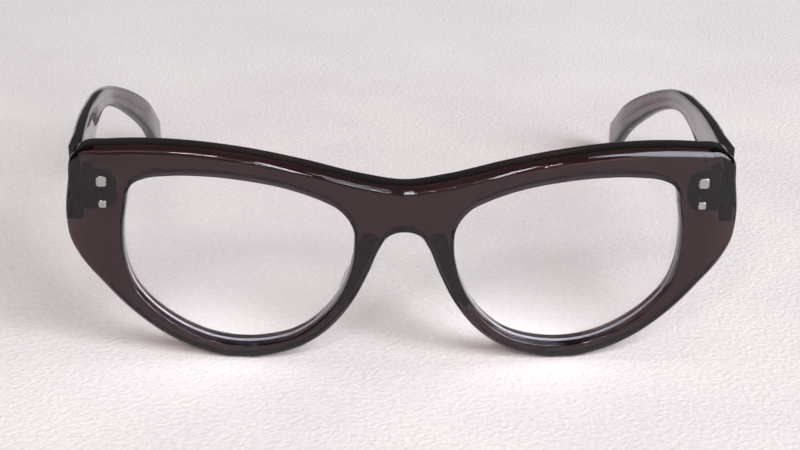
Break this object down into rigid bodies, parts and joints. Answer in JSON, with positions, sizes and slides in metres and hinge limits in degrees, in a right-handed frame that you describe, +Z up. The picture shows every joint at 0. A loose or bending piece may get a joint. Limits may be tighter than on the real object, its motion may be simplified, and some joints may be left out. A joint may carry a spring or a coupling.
{
  "type": "eyeglass frame",
  "caption": "Thick acetate eyeglass frame with upswept browline, clear lenses, bonded nose pads, square face rivets and screw-hinged folding temples.",
  "frame": {"origin": "on the table, under the middle of the overall box of the open frame", "axes": "+X towards the wearer's left, -Y the way the wearer looks, +Z up with the frame standing on its rims and temple tips"},
  "size_m": [0.1542, 0.1412, 0.049],
  "materials": {
    "acetate": "tumbled and hand-polished smoky brown-purple crystal acetate, slightly see-through",
    "clear_lens": "polished clear demo lens with a ground bevelled edge",
    "nickel_silver": "stamped nickel silver, polished on the rivet heads and barrel-tumbled on the hinges",
    "screw_steel": "turned stainless steel screw and drawn steel core wire"
  },
  "bodies": {
    "front_assembly": {"front": "acetate", "lens_left": "clear_lens", "lens_right": "clear_lens", "nose_pad_left": "acetate", "nose_pad_right": "acetate", "front_hinge_left": "nickel_silver", "front_hinge_right": "nickel_silver", "hinge_screw_left": "screw_steel", "hinge_screw_right": "screw_steel", "front_rivet_upper_left": "nickel_silver", "front_rivet_upper_right": "nickel_silver", "front_rivet_lower_left": "nickel_silver", "front_rivet_lower_right": "nickel_silver"},
    "temple_assembly_left": {"temple_left": "acetate", "core_wire_left": "screw_steel", "temple_hinge_left": "nickel_silver", "temple_rivet_front_left": "nickel_silver", "temple_rivet_rear_left": "nickel_silver"},
    "temple_assembly_right": {"temple_right": "acetate", "core_wire_right": "screw_steel", "temple_hinge_right": "nickel_silver", "temple_rivet_front_right": "nickel_silver", "temple_rivet_rear_right": "nickel_silver"}
  },
  "joints": [
    {"name": "temple_fold_left", "type": "hinge", "parent": "front_assembly", "child": "temple_assembly_left", "pos_m": [0.06805, -0.05811, 0.03748], "axis": [0, 0, 1], "range_deg": [0, 88]},
    {"name": "temple_fold_right", "type": "hinge", "parent": "front_assembly", "child": "temple_assembly_right", "pos_m": [-0.06805, -0.05811, 0.03748], "axis": [0, 0, -1], "range_deg": [0, 83]}
  ]
}
